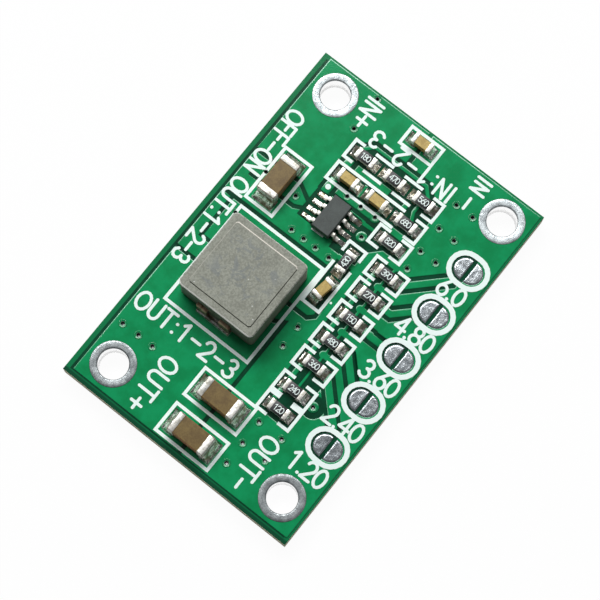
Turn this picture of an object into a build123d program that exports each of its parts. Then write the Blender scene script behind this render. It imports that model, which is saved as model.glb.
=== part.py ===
from build123d import *
from math import atan2, cos, hypot, pi, sin, tan
import os

# Step-down converter module: one plated board with its parts soldered on the top face.
# Millimetres. The underside is at z = 0, +X points to the input end and +Y to the long
# edge without the solder jumpers. Places are measured from the middle of the four big
# holes, which lies a little off the middle of the cut outline.

# Board, with its copper standing proud of the bare laminate under the green mask
BOARD_LENGTH = 30.0
BOARD_WIDTH = 20.0
BOARD_THICKNESS = 1.6
COPPER_RELIEF = 0.05
ARTWORK_X = 0.15
ARTWORK_Y = -0.2

# Four plated wire holes, inset so that they fall on a 0.1 inch grid
HOLE_INSET_X = 2.3
HOLE_INSET_Y = 2.38
HOLE_SPACING_X = BOARD_LENGTH - 2 * HOLE_INSET_X
HOLE_SPACING_Y = BOARD_WIDTH - 2 * HOLE_INSET_Y
HOLE_RADIUS = 1.12
HOLE_PLATING = 0.06
HOLE_RING_WIDTH = 0.58
HOLE_RING_HEIGHT = 0.03

# Vias, drilled with few sides because there are many
VIA_RADIUS = 0.17
VIA_SIDES = 6
VIA_PLACES = [
    (-10.02, 8.95), (-9.97, 7.56), (-10.0, 6.26), (1.29, 7.79), (5.03, 7.96),
    (4.97, 5.18), (11.56, 5.0), (14.38, 5.05), (2.83, 3.86), (2.83, 2.76),
    (2.83, 1.7), (2.85, 0.48), (7.25, 2.25), (7.25, 1.02), (7.25, -0.28),
    (5.51, -0.41), (-4.2, -0.94), (-2.5, -0.92), (-13.2, -3.05), (-11.4, -3.05),
    (-9.52, -3.02), (-11.4, -5.06), (-9.5, -5.03), (-6.35, -5.35), (5.7, -4.4),
    (7.31, -4.37), (9.47, -4.39), (11.63, -4.31), (7.31, -5.74), (9.42, -5.78),
    (11.62, -5.78),
]

# Copper areas
POUR_MARGIN_X = 0.3
POUR_MARGIN_Y = 0.375
POUR_LENGTH = BOARD_LENGTH - 2 * POUR_MARGIN_X
POUR_WIDTH = BOARD_WIDTH - 2 * POUR_MARGIN_Y
GAP_WIDTH = 0.28
TRACE_WIDTH = 0.56
THIN_TRACE_WIDTH = 0.3
BUS_WIDTH = 0.22

# Top copper: gaps and bare windows, then the traces laid back into them
RAIL_GAPS = [
    [(-BOARD_LENGTH / 2, 0.0), (-2.8, 0.0), (-3.2, 0.7), (-3.2, BOARD_WIDTH / 2)],
    [(-1.5, 7.2), (-1.5, 8.7), (2.18, 8.7)],
    [(2.18, BOARD_WIDTH / 2), (2.18, -0.4)],
    [(-1.58, 1.2), (-1.58, -1.0), (-1.16, -1.42), (-0.2, -1.42)],
    [(4.25, 8.85), (4.25, 4.85), (4.57, 4.2)],
    [(5.97, BOARD_WIDTH / 2), (5.97, 5.6), (5.2, 4.2)],
    [(11.7, 0.3), (BOARD_LENGTH / 2, 0.3)],
]
BARE_WINDOWS = [
    (-8.75, -4.95, 5.05, -2.25),
    (-0.6, -1.3, 4.65, -0.05),
    (4.0, -0.1, 6.5, 4.3),
    (6.5, 4.1, 7.6, 4.38),
    (6.4, 3.12, 7.6, 3.4),
    (6.6, -0.1, 6.88, 3.3),
    (4.75, -0.95, 7.6, 0.0),
    (5.68, -3.55, 7.0, -0.9),
    (7.5, -3.55, 11.0, 4.38),
    (3.5, -0.1, 4.0, 1.0),
]
BARE_CORNER = [(4.75, -0.9), (4.75, -1.35), (5.7, -2.25), (5.7, -0.9)]
COPPER_ISLANDS = [
    (8.85, 3.4, 9.6, 4.05),
    (8.9, 0.0, 9.6, 3.05),
    (8.9, -1.7, 9.6, -1.25),
    (6.45, 3.45, 7.8, 4.05),
    (7.65, 1.46, 8.75, 1.76),
    (6.25, -0.95, 6.55, 0.3),
    (3.12, -1.45, 3.56, 0.1),
    (-8.0, -3.0, 4.6, -2.6),
]
RING_VIAS = [(5.51, -0.41), (7.25, -0.28)]
RING_PAD_RADIUS = 0.42
RING_PAD_SIDES = 16
DARK_VIA = (-6.35, -5.35)
DARK_VIA_CLEARANCE = 0.85
FINGER_WIDTH = 0.5
FINGER_END_Y = -5.1
BLOB_RADIUS = 0.3
BUS_DROP = 0.07
BUS_END = (5.3, -3.88)
SENSE_TRACE = [(10.4, 3.9), (11.4, 2.9), (11.4, -1.75), (10.7, -2.45)]
LOWER_TRACE = [(8.5, -2.6), (9.3, -2.2), (9.9, -2.2)]
TRACE_BENDS = [-4.75, -5.0, -5.3, -5.52, -4.8]

# Printed outlines
INK_THICKNESS = 0.02
INK_LINE = 0.24
FRAME_BREAK = 0.98
COLUMN_BREAK_RISE = 0.12
COLUMN_FOOT_RISE = 0.1
INPUT_FRAME_SHIFT = 0.04
FEEDBACK_FRAME = (-0.85, -1.54, 4.88, 0.2)
FEEDBACK_BREAK = (2.95, 3.88)
PIN_DOT = (6.95, 3.77)
PIN_DOT_RADIUS = 0.215
SMALL_DOT = (0.33, -1.69)
SMALL_DOT_RADIUS = 0.1
BODY_TICK = (3.72, 1.74, 3.87, 2.8)

# Soldered lands
SOLDER_FILM = 0.03
LAND_HEEL = 0.38
LAND_SIDE = 0.07
SOLDER_CLIMB = 0.7
SOLDER_HOLLOW = 0.8

# Small chips
CHIP_LENGTH = 1.6
CHIP_WIDTH = 0.8
CHIP_BAND = 0.3
CHIP_TOE = 0.42
CHIP_FRAME_GAP = 0.5
CHIP_FRAME_SIDE = 0.25
RESISTOR_HEIGHT = 0.42
RESISTOR_COAT = 0.03
TERMINAL_WALL = 0.02
SMALL_CAPACITOR_HEIGHT = 0.8

# Large chips
LARGE_LENGTH = 3.2
LARGE_WIDTH = 1.6
LARGE_HEIGHT = 1.45
LARGE_BAND = 0.52
LARGE_TOE = 0.52
LARGE_FRAME_GAP = 0.61
LARGE_FRAME_SIDE = 0.28
CAPACITOR_WALL = 0.04
LARGE_EDGE = 0.09

# Row of seven resistors, and the two columns beside the regulator
ROW_X = [-8.0, -6.25, -3.98, -1.9, 0.23, 2.34, 4.35]
ROW_Y = -3.58
COLUMN_TOP_Y = 2.92
COLUMN_GAP = 0.19
COLUMN_PITCH = CHIP_LENGTH + 2 * CHIP_TOE + COLUMN_GAP
COLUMN_Y = [COLUMN_TOP_Y - COLUMN_PITCH * k for k in range(3)]
CAPACITOR_COLUMN_X = 8.18
RESISTOR_COLUMN_X = 10.25
SHORT_COLUMN_X = 6.35

# Single small chips
FEEDBACK_X = 3.28
FEEDBACK_Y = -0.69
FEEDBACK_GAP = 0.12
FEEDBACK_RESISTOR = (FEEDBACK_X, FEEDBACK_Y)
FEEDBACK_CAPACITOR = (FEEDBACK_X - CHIP_LENGTH - 2 * CHIP_TOE - FEEDBACK_GAP, FEEDBACK_Y)
FEEDBACK_CAPACITOR_TURN = -9.5
INPUT_CAPACITOR_REACH = 0.9
INPUT_CAPACITOR = (HOLE_SPACING_X / 2 + INPUT_CAPACITOR_REACH, 0.35)

# Large capacitors
INPUT_LARGE = (5.03, 6.78)
OUTPUT_LARGE_REACH = [2.65, -0.55]
OUTPUT_LARGE_X = [reach - HOLE_SPACING_X / 2 for reach in OUTPUT_LARGE_REACH]
OUTPUT_LARGE_Y = 0.02

# Solder jumpers
JUMPER_PITCH = 4.06
JUMPER_MIDDLE_X = 0.16
JUMPER_Y = -7.93
JUMPER_PAD_WIDTH = 1.72
JUMPER_PAD_LENGTH = 2.24
JUMPER_SPLIT = 0.27
JUMPER_TIN = 0.05
JUMPER_EDGE = 0.04
ROUND_STEPS = 10
JUMPER_CLEARANCE = 0.14
JUMPER_RING_WIDTH = 0.38

# Moulded power inductor
INDUCTOR = (-2.4, 4.03)
INDUCTOR_SIDE = 6.6
INDUCTOR_HEIGHT = 2.75
INDUCTOR_CORNER = 0.4
INDUCTOR_EDGE = 0.08
PLATEAU_SIDE = 5.5
PLATEAU_HEIGHT = 0.08
PLATEAU_CORNER = 0.15
PLATEAU_EDGE = 0.05
INDUCTOR_FRAME_X = 8.9
INDUCTOR_FRAME_Y = 7.72

# Folded clips of the inductor, one at each end, each with two legs
CLIP_THICKNESS = 0.15
CLIP_STANDOFF = 0.12
CLIP_LEG_WIDTH = 0.93
CLIP_LEG_PITCH = 2.0
CLIP_RISE = 1.5
CLIP_FOOT = 1.7
CLIP_ROOT = 0.5
CLIP_TOE = 0.12
CLIP_BEND = 0.08
CLIP_CLIMB = 0.2

# Regulator with eight gull-wing leads
REGULATOR = (5.22, 2.12)
REGULATOR_LENGTH = 2.9
REGULATOR_WIDTH = 1.6
REGULATOR_THICKNESS = 0.87
REGULATOR_STANDOFF = 0.05
REGULATOR_DRAFT = 0.07
LEAD_PITCH = 0.65
LEADS_A_SIDE = 4
LEAD_WIDTH = 0.32
LEAD_THICKNESS = 0.13
LEAD_SPAN = 2.8
LEAD_SHOULDER = 0.2
LEAD_FOOT = 0.36
LEAD_ROOT = 0.2
LEAD_TOE = 0.55
LEAD_LAND_WIDTH = 0.4

# Heights worked out from the sizes above
FACE_Z = BOARD_THICKNESS
BARE_Z = FACE_Z - COPPER_RELIEF
SEAT_Z = FACE_Z + SOLDER_FILM
ON_FLOOR = (Align.CENTER, Align.CENTER, Align.MIN)


def place(x, y, z=0.0, turn=0.0):
    """Location on the board, measured from the middle of the four holes."""
    return Pos(ARTWORK_X + x, ARTWORK_Y + y, z) * Rot(0, 0, turn)


def strip(points, width):
    """Flat band of one width along a run of points, mitred at its corners."""
    path = [Vector(*point) for point in points]
    near, far = [], []
    for index, here in enumerate(path):
        before = path[max(index - 1, 0)]
        after = path[min(index + 1, len(path) - 1)]
        leaving = (after - here) if after != here else (here - before)
        coming = (here - before) if here != before else leaving
        along = (coming.normalized() + leaving.normalized()).normalized()
        half = width / 2 / along.dot(leaving.normalized())
        side = Vector(-along.Y, along.X) * half
        near.append(here - side)
        far.append(here + side)
    return Polygon(*near, *reversed(far), align=None)


def window(left, bottom, right, top):
    """Rectangle given by its two corners."""
    middle = Pos((left + right) / 2, (bottom + top) / 2)
    return middle * Rectangle(right - left, top - bottom)


def layer(outline, bottom, thickness):
    """Flat artwork raised into a thin layer of the board."""
    return place(0, 0, bottom) * extrude(outline, thickness)


def hole_places():
    half_x = HOLE_SPACING_X / 2
    half_y = HOLE_SPACING_Y / 2
    return {
        "pad_in_plus": (half_x, half_y),
        "pad_in_minus": (half_x, -half_y),
        "pad_out_plus": (-half_x, half_y),
        "pad_out_minus": (-half_x, -half_y),
    }


def jumper_places():
    return [(JUMPER_MIDDLE_X + JUMPER_PITCH * k, JUMPER_Y) for k in range(-2, 3)]


def resistor_places():
    """Centre and turn of each of the thirteen chip resistors."""
    places = [(x, ROW_Y, 90) for x in ROW_X]
    places += [(RESISTOR_COLUMN_X, y, 90) for y in COLUMN_Y]
    places += [(CAPACITOR_COLUMN_X, COLUMN_Y[2], 90), (SHORT_COLUMN_X, COLUMN_Y[2], 90)]
    return places + [(*FEEDBACK_RESISTOR, 0)]


def small_capacitor_places():
    places = [(CAPACITOR_COLUMN_X, y, 90) for y in COLUMN_Y[:2]]
    places += [(*FEEDBACK_CAPACITOR, FEEDBACK_CAPACITOR_TURN), (*INPUT_CAPACITOR, 90)]
    return places


def large_capacitor_places():
    return [(*INPUT_LARGE, 0)] + [(x, OUTPUT_LARGE_Y, 90) for x in OUTPUT_LARGE_X]


def land_outline(reach, width):
    """Land from its heel under the part to its outer end, along +X from the part's end."""
    return window(-LAND_HEEL, -width / 2, reach, width / 2)


def chip_lands(length, width, toe, x, y, turn):
    """The two land outlines of one chip, on the board."""
    land = land_outline(toe, width + 2 * LAND_SIDE)
    ends = [Rot(0, 0, half_turn) * Pos(length / 2, 0) * land for half_turn in (0, 180)]
    return [Pos(x, y) * Rot(0, 0, turn) * end for end in ends]


def lead_places():
    """Middle of the row and turn for each regulator lead."""
    first = -(LEADS_A_SIDE - 1) / 2
    along = [(first + k) * LEAD_PITCH for k in range(LEADS_A_SIDE)]
    return [(REGULATOR[0] + x, REGULATOR[1], turn) for turn in (90, -90) for x in along]


def inductor_clip_width():
    return CLIP_LEG_PITCH + CLIP_LEG_WIDTH


def clip_reach():
    """Outer face of a clip's legs, from the middle of the inductor."""
    return INDUCTOR_SIDE / 2 + CLIP_STANDOFF + CLIP_THICKNESS


def all_lands():
    """Outline of every soldered land on the top face."""
    lands = []
    for x, y, turn in resistor_places() + small_capacitor_places():
        lands += chip_lands(CHIP_LENGTH, CHIP_WIDTH, CHIP_TOE, x, y, turn)
    for x, y, turn in large_capacitor_places():
        lands += chip_lands(LARGE_LENGTH, LARGE_WIDTH, LARGE_TOE, x, y, turn)
    lead = Pos(LEAD_SPAN / 2, 0) * land_outline(LEAD_TOE, LEAD_LAND_WIDTH)
    lands += [Pos(x, y) * Rot(0, 0, turn) * lead for x, y, turn in lead_places()]
    lands += [Pos(*INDUCTOR) * Rot(0, 0, turn) * clip_land() for turn in (0, 180)]
    return lands


def jumper_crown(grow):
    """Points of the half-round upper end of a solder jumper, from right to left."""
    radius = JUMPER_PAD_WIDTH / 2 + grow
    middle = (JUMPER_PAD_LENGTH - JUMPER_PAD_WIDTH) / 2
    turns = [pi * step / ROUND_STEPS for step in range(ROUND_STEPS + 1)]
    return [(radius * cos(turn), middle + radius * sin(turn)) for turn in turns]


def jumper_outline(grow=0.0):
    """Outline round both pads of a solder jumper."""
    crown = jumper_crown(grow)
    return Polygon(*crown, *[(-x, -y) for x, y in crown], align=None)


def jumper_half(low, grow=0.0):
    """D-shaped outline of the upper end of a solder jumper, cut off flat at its lower side."""
    half = JUMPER_PAD_WIDTH / 2 + grow
    return Polygon((-half, low), (half, low), *jumper_crown(grow), align=None)


def jumper_traces():
    """Route from each of five row resistors down to the upper pad of its jumper."""
    routes = []
    for x, bend, jumper in zip(ROW_X[2:], TRACE_BENDS, jumper_places()):
        target_y = jumper[1] + JUMPER_PAD_LENGTH / 4
        reach = abs(jumper[0] - x)
        slope = 1 if jumper[0] > x else -1
        fall = min(reach, bend - target_y)
        route = [(x, ROW_Y - CHIP_LENGTH / 2), (x, bend), (x + slope * fall, bend - fall)]
        routes.append(route + [(jumper[0], target_y)])
    return routes


def row_fingers():
    """Copper between the row resistors, down from the bus, with a blob at each top."""
    pieces = []
    for left, right in zip(ROW_X[2:], ROW_X[3:]):
        middle = (left + right) / 2
        pieces.append(strip([(middle, ROW_Y), (middle, FINGER_END_Y)], FINGER_WIDTH))
        pieces.append(Pos(middle, ROW_Y) * RegularPolygon(BLOB_RADIUS, RING_PAD_SIDES))
    bus_y = ROW_Y - BUS_DROP
    return pieces + [strip([(ROW_X[1], bus_y), (ROW_X[-1], bus_y), BUS_END], BUS_WIDTH)]


def copper_areas():
    """Every raised copper area of the top face, one flat outline with all its gaps."""
    pour = Rectangle(POUR_LENGTH, POUR_WIDTH)
    gaps = [strip(route, GAP_WIDTH) for route in RAIL_GAPS]
    gaps += [window(*corners) for corners in BARE_WINDOWS]
    gaps.append(Polygon(*BARE_CORNER, align=None))
    gaps.append(Pos(*DARK_VIA) * RegularPolygon(DARK_VIA_CLEARANCE, RING_PAD_SIDES))
    gaps += [strip(route, TRACE_WIDTH + 2 * GAP_WIDTH) for route in jumper_traces()]
    gaps.append(strip(SENSE_TRACE, THIN_TRACE_WIDTH + 2 * GAP_WIDTH))
    pour -= gaps
    ring_pad = RegularPolygon(RING_PAD_RADIUS, RING_PAD_SIDES)
    laid = [window(*corners) for corners in COPPER_ISLANDS]
    laid += [Pos(*spot) * ring_pad for spot in RING_VIAS + [DARK_VIA]]
    laid += row_fingers()
    laid += [strip(route, TRACE_WIDTH) for route in jumper_traces()]
    laid += [strip(SENSE_TRACE, THIN_TRACE_WIDTH), strip(LOWER_TRACE, THIN_TRACE_WIDTH)]
    pour += laid
    moat = jumper_half(-JUMPER_SPLIT / 2, JUMPER_CLEARANCE)
    openings = [Pos(*spot) * moat for spot in jumper_places()]
    openings += [Pos(*spot) * jumper_outline() for spot in jumper_places()]
    return pour - (openings + all_lands())


def board():
    """Laminate with its raised copper, drilled for the holes and let in for their rings."""
    laminate = Box(BOARD_LENGTH, BOARD_WIDTH, BARE_Z, align=ON_FLOOR)
    drill = [Pos(*spot) * Circle(HOLE_RADIUS + HOLE_PLATING) for spot in hole_places().values()]
    drill += [Pos(*spot) * RegularPolygon(VIA_RADIUS, VIA_SIDES) for spot in VIA_PLACES]
    seat = Circle(HOLE_RADIUS + HOLE_RING_WIDTH)
    seats = [Pos(*spot) * seat for spot in hole_places().values()]
    laminate += layer(copper_areas(), BARE_Z, COPPER_RELIEF)
    laminate -= layer(Sketch() + seats, 0, HOLE_RING_HEIGHT)
    return laminate - layer(Sketch() + drill, 0, BOARD_THICKNESS)


def plated_hole():
    """Tinned barrel with a flat ring on the top face and one flush with the underside."""
    top = FACE_Z + HOLE_RING_HEIGHT
    outer = HOLE_RADIUS + HOLE_RING_WIDTH
    barrel = HOLE_RADIUS + HOLE_PLATING
    profile = Polygon(
        (HOLE_RADIUS, 0), (outer, 0), (outer, HOLE_RING_HEIGHT), (barrel, HOLE_RING_HEIGHT),
        (barrel, FACE_Z), (outer, FACE_Z), (outer, top), (HOLE_RADIUS, top), align=None)
    return revolve(Plane.XZ * profile, Axis.Z)


def jumper():
    """Two tinned pads with a narrow gap between them."""
    pad = extrude(jumper_half(JUMPER_SPLIT / 2), COPPER_RELIEF + JUMPER_TIN)
    pad = chamfer(pad.faces().sort_by(Axis.Z)[-1].edges(), JUMPER_EDGE)
    return Pos(0, 0, BARE_Z) * (Part() + [pad, mirror(pad, Plane.XZ)])


def solder_joint(toe, width, height):
    """Land film with its hollow fillet, outwards along +X from the end of a part."""
    film = COPPER_RELIEF + SOLDER_FILM
    slant = hypot(toe, height)
    hollow = slant / 2 * tan(SOLDER_HOLLOW * min(atan2(height, toe), atan2(toe, height)) / 2)
    middle = (toe / 2 - hollow * height / slant, film + height / 2 - hollow * toe / slant)
    side = Polygon(
        (-LAND_HEEL, 0), (toe, 0), (toe, film), middle, (0, film + height), (0, film),
        (-LAND_HEEL, film), align=None)
    return Pos(0, 0, BARE_Z) * extrude(Plane.XZ * side, width / 2, both=True)


def chip_joints(length, width, toe, height, x, y, turn):
    """The two solder joints of one chip."""
    joint = Pos(length / 2, 0) * solder_joint(toe, width + 2 * LAND_SIDE, height * SOLDER_CLIMB)
    return [place(x, y, 0, turn + half_turn) * joint for half_turn in (0, 180)]


def solder_joints():
    """Every soldered land, each with its own fillet."""
    joints = []
    for x, y, turn in resistor_places():
        joints += chip_joints(CHIP_LENGTH, CHIP_WIDTH, CHIP_TOE, RESISTOR_HEIGHT, x, y, turn)
    for x, y, turn in small_capacitor_places():
        joints += chip_joints(
            CHIP_LENGTH, CHIP_WIDTH, CHIP_TOE, SMALL_CAPACITOR_HEIGHT, x, y, turn)
    for x, y, turn in large_capacitor_places():
        joints += chip_joints(LARGE_LENGTH, LARGE_WIDTH, LARGE_TOE, LARGE_HEIGHT, x, y, turn)
    lead = Pos(LEAD_SPAN / 2, 0) * solder_joint(LEAD_TOE, LEAD_LAND_WIDTH, LEAD_THICKNESS)
    joints += [place(x, y, 0, turn) * lead for x, y, turn in lead_places()]
    joints += clip_joints()
    return Compound(children=joints)


def clip_land():
    """Outline of the land under one clip, along +X from the inductor's middle."""
    half = inductor_clip_width() / 2
    return window(clip_reach() - CLIP_FOOT, -half, clip_reach() + CLIP_TOE, half)


def clip_joints():
    """The two wide joints under the inductor's clips, with a fillet at each leg."""
    film = COPPER_RELIEF + SOLDER_FILM
    reach = clip_reach()
    top = film + CLIP_CLIMB
    side = Polygon((reach, film), (reach + CLIP_TOE, film), (reach, top), align=None)
    wedge = extrude(Plane.XZ * side, CLIP_LEG_WIDTH / 2, both=True)
    legs = [Pos(0, shift, 0) * wedge for shift in (-CLIP_LEG_PITCH / 2, CLIP_LEG_PITCH / 2)]
    joint = extrude(clip_land(), film) + legs
    return [place(*INDUCTOR, BARE_Z, turn) * joint for turn in (0, 180)]


def capacitor(length, width, height, band, edge):
    """Ceramic block and its two capped ends, standing on z = 0."""
    wall = CAPACITOR_WALL
    block = Pos(0, 0, wall) * Box(
        length - 2 * wall, width - 2 * wall, height - 2 * wall, align=ON_FLOOR)
    ends = Box(length, width, height, align=ON_FLOOR)
    if edge:
        ends = chamfer(ends.edges().filter_by(Axis.X), edge)
        tips = ends.faces().sort_by(Axis.X)
        ends = chamfer(tips[0].edges() + tips[-1].edges(), edge)
    middle = Box(length - 2 * band, 2 * width, 2 * height, align=ON_FLOOR)
    return block, ends - middle - block


def resistor():
    """Ceramic block with its dark coat, and its two wrapped ends, standing on z = 0."""
    block = Pos(0, 0, TERMINAL_WALL) * Box(
        CHIP_LENGTH - 2 * TERMINAL_WALL, CHIP_WIDTH, RESISTOR_HEIGHT, align=ON_FLOOR)
    envelope = Box(
        CHIP_LENGTH, CHIP_WIDTH, RESISTOR_HEIGHT + 2 * TERMINAL_WALL, align=ON_FLOOR)
    middle = Box(CHIP_LENGTH - 2 * CHIP_BAND, 2 * CHIP_WIDTH, 2 * CHIP_LENGTH, align=ON_FLOOR)
    coat = Pos(0, 0, RESISTOR_HEIGHT + TERMINAL_WALL) * Box(
        CHIP_LENGTH - 2 * CHIP_BAND, CHIP_WIDTH, RESISTOR_COAT, align=ON_FLOOR)
    return block + coat, envelope - middle - block


def inductor_clip():
    """Strip folded out of the block, down its side and under it, slotted into two legs."""
    reach = clip_reach()
    width = inductor_clip_width()
    base = SEAT_Z
    foot = Pos(reach - CLIP_FOOT / 2, 0, base) * Box(
        CLIP_FOOT, width, CLIP_THICKNESS, align=ON_FLOOR)
    leg = Pos(reach - CLIP_THICKNESS / 2, 0, base) * Box(
        CLIP_THICKNESS, width, CLIP_RISE, align=ON_FLOOR)
    root_length = CLIP_ROOT + CLIP_STANDOFF + CLIP_THICKNESS
    root = Pos(reach - root_length / 2, 0, base + CLIP_RISE - CLIP_THICKNESS) * Box(
        root_length, width, CLIP_THICKNESS, align=ON_FLOOR)
    bent = foot + leg + root
    corners = bent.edges().filter_by(Axis.Y).group_by(Axis.X)[-1]
    bent = chamfer(corners, CLIP_BEND)
    slot = Pos(reach, 0, base) * Box(
        2 * (CLIP_STANDOFF + CLIP_THICKNESS), CLIP_LEG_PITCH - CLIP_LEG_WIDTH, 4 * CLIP_RISE)
    return bent - slot


def inductor():
    """Pressed powder block with a raised flat on top, and its two clips."""
    bottom = SEAT_Z + CLIP_THICKNESS
    block = extrude(RectangleRounded(INDUCTOR_SIDE, INDUCTOR_SIDE, INDUCTOR_CORNER), INDUCTOR_HEIGHT)
    block = chamfer(block.faces().sort_by(Axis.Z)[-1].edges(), INDUCTOR_EDGE)
    plateau = Box(PLATEAU_SIDE, PLATEAU_SIDE, PLATEAU_HEIGHT, align=ON_FLOOR)
    plateau = chamfer(plateau.edges().filter_by(Axis.Z), PLATEAU_CORNER)
    plateau = chamfer(plateau.faces().sort_by(Axis.Z)[-1].edges(), PLATEAU_EDGE)
    block = Pos(0, 0, bottom) * (block + Pos(0, 0, INDUCTOR_HEIGHT) * plateau)
    clip = inductor_clip()
    clips = Part() + [clip, mirror(clip, Plane.YZ)]
    home = place(*INDUCTOR)
    return home * (block - clips), home * clips


def regulator_lead():
    """Gull-wing lead along +X from the regulator's middle: root, shoulder, fall and foot."""
    tip = LEAD_SPAN / 2
    wall = REGULATOR_WIDTH / 2
    low = SEAT_Z
    high = SEAT_Z + REGULATOR_STANDOFF + REGULATOR_THICKNESS / 2 - LEAD_THICKNESS / 2
    bend = wall + LEAD_SHOULDER
    heel = tip - LEAD_FOOT
    profile = Polygon(
        (wall - LEAD_ROOT, high), (bend - LEAD_THICKNESS / 2, high),
        (heel - LEAD_THICKNESS / 2, low + LEAD_THICKNESS / 3), (heel, low), (tip, low),
        (tip, low + LEAD_THICKNESS), (heel + LEAD_THICKNESS / 2, low + LEAD_THICKNESS),
        (bend + LEAD_THICKNESS / 2, high + LEAD_THICKNESS * 2 / 3), (bend, high + LEAD_THICKNESS),
        (wall - LEAD_ROOT, high + LEAD_THICKNESS), align=None)
    return extrude(Plane.XZ * profile, LEAD_WIDTH / 2, both=True)


def regulator():
    """Moulded body, drawn in above and below its parting line, and its eight leads."""
    middle = SEAT_Z + REGULATOR_STANDOFF + REGULATOR_THICKNESS / 2
    waist = Rectangle(REGULATOR_LENGTH, REGULATOR_WIDTH)
    ends = Rectangle(REGULATOR_LENGTH - 2 * REGULATOR_DRAFT, REGULATOR_WIDTH - 2 * REGULATOR_DRAFT)
    rise = REGULATOR_THICKNESS / 2
    upper = loft([Pos(0, 0, middle) * waist, Pos(0, 0, middle + rise) * ends])
    lower = loft([Pos(0, 0, middle - rise) * ends, Pos(0, 0, middle) * waist])
    leads = [place(x, y, 0, turn) * regulator_lead() for x, y, turn in lead_places()]
    body = place(*REGULATOR) * (upper + lower)
    for lead in leads:
        body -= lead
    return body, Compound(children=leads)


def frame(left, bottom, right, top):
    """Printed rectangle, given by its outer corners."""
    outer = window(left, bottom, right, top)
    return outer - window(left + INK_LINE, bottom + INK_LINE, right - INK_LINE, top - INK_LINE)


def part_frame(x, y, half_x, half_y):
    return frame(x - half_x, y - half_y, x + half_x, y + half_y)


def printed_outlines():
    """White ink frames, rings and dots on the top face."""
    half_x = CHIP_WIDTH / 2 + CHIP_FRAME_SIDE + INK_LINE
    half_y = CHIP_LENGTH / 2 + CHIP_FRAME_GAP + INK_LINE
    marks = []
    breaks = []
    for x in ROW_X[2:] + [SHORT_COLUMN_X]:
        y = ROW_Y if x in ROW_X else COLUMN_Y[2]
        marks.append(part_frame(x, y, half_x, half_y))
        breaks.append(Pos(x, y) * Rectangle(2 * half_x, FRAME_BREAK))
    shared = frame(ROW_X[0] - half_x, ROW_Y - half_y, ROW_X[1] + half_x, ROW_Y + half_y)
    divider = window(ROW_X[0] + half_x - INK_LINE, ROW_Y - half_y,
                     ROW_X[1] - half_x + INK_LINE, ROW_Y + half_y)
    marks += [shared, divider]
    breaks.append(window(ROW_X[0] - half_x, ROW_Y - FRAME_BREAK / 2,
                         ROW_X[1] + half_x, ROW_Y + FRAME_BREAK / 2))
    top = COLUMN_Y[0] + half_y
    bottom = COLUMN_Y[2] - half_y + COLUMN_FOOT_RISE
    for x in (CAPACITOR_COLUMN_X, RESISTOR_COLUMN_X):
        marks.append(frame(x - half_x, bottom, x + half_x, top))
        open_at = COLUMN_Y if x == RESISTOR_COLUMN_X else COLUMN_Y[2:]
        for y in open_at:
            breaks.append(Pos(x, y + COLUMN_BREAK_RISE) * Rectangle(2 * half_x, FRAME_BREAK))
    input_x, input_y = INPUT_CAPACITOR
    marks.append(part_frame(input_x - INPUT_FRAME_SHIFT, input_y, half_x, half_y))
    marks.append(frame(*FEEDBACK_FRAME))
    left, right = FEEDBACK_BREAK
    breaks.append(window(left, FEEDBACK_FRAME[1], right, FEEDBACK_FRAME[3]))
    large_x = LARGE_WIDTH / 2 + LARGE_FRAME_SIDE + INK_LINE
    large_y = LARGE_LENGTH / 2 + LARGE_FRAME_GAP + INK_LINE
    marks.append(part_frame(*INPUT_LARGE, large_y, large_x))
    marks += [part_frame(x, OUTPUT_LARGE_Y, large_x, large_y) for x in OUTPUT_LARGE_X]
    marks.append(part_frame(*INDUCTOR, INDUCTOR_FRAME_X / 2, INDUCTOR_FRAME_Y / 2))
    inked = (Sketch() + marks) - breaks
    ring = jumper_outline(JUMPER_CLEARANCE + JUMPER_RING_WIDTH) - jumper_outline(JUMPER_CLEARANCE)
    inked += [Pos(*spot) * ring for spot in jumper_places()]
    inked += Pos(*PIN_DOT) * RegularPolygon(PIN_DOT_RADIUS, RING_PAD_SIDES)
    inked += Pos(*SMALL_DOT) * RegularPolygon(SMALL_DOT_RADIUS, VIA_SIDES)
    inked += window(*BODY_TICK)
    vias = [Pos(*spot) * RegularPolygon(VIA_RADIUS, VIA_SIDES) for spot in VIA_PLACES]
    inked -= vias + all_lands()
    return layer(inked, FACE_Z, INK_THICKNESS)


def save(name, shape):
    export_step(shape, f"parts/{name}.step")


os.makedirs("parts", exist_ok=True)
save("board", board())
save("printed_outlines", printed_outlines())
save("solder_joints", solder_joints())
for name, spot in hole_places().items():
    save(name, place(*spot) * plated_hole())
for number, spot in enumerate(jumper_places(), start=1):
    save(f"jumper_{number}", place(*spot) * jumper())
inductor_body, inductor_clips = inductor()
save("inductor_body", inductor_body)
save("inductor_clips", inductor_clips)
regulator_body, regulator_leads = regulator()
save("regulator_body", regulator_body)
save("regulator_leads", regulator_leads)
resistor_body, resistor_ends = resistor()
for number, (x, y, turn) in enumerate(resistor_places(), start=1):
    save(f"resistor_{number}_body", place(x, y, SEAT_Z, turn) * resistor_body)
    save(f"resistor_{number}_ends", place(x, y, SEAT_Z, turn) * resistor_ends)
small = capacitor(CHIP_LENGTH, CHIP_WIDTH, SMALL_CAPACITOR_HEIGHT, CHIP_BAND, 0)
large = capacitor(LARGE_LENGTH, LARGE_WIDTH, LARGE_HEIGHT, LARGE_BAND, LARGE_EDGE)
spots = [(small, spot) for spot in small_capacitor_places()]
spots += [(large, spot) for spot in large_capacitor_places()]
for number, ((body, ends), (x, y, turn)) in enumerate(spots, start=1):
    save(f"capacitor_{number}_body", place(x, y, SEAT_Z, turn) * body)
    save(f"capacitor_{number}_ends", place(x, y, SEAT_Z, turn) * ends)
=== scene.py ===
from math import cos, pi, radians, sin

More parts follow.
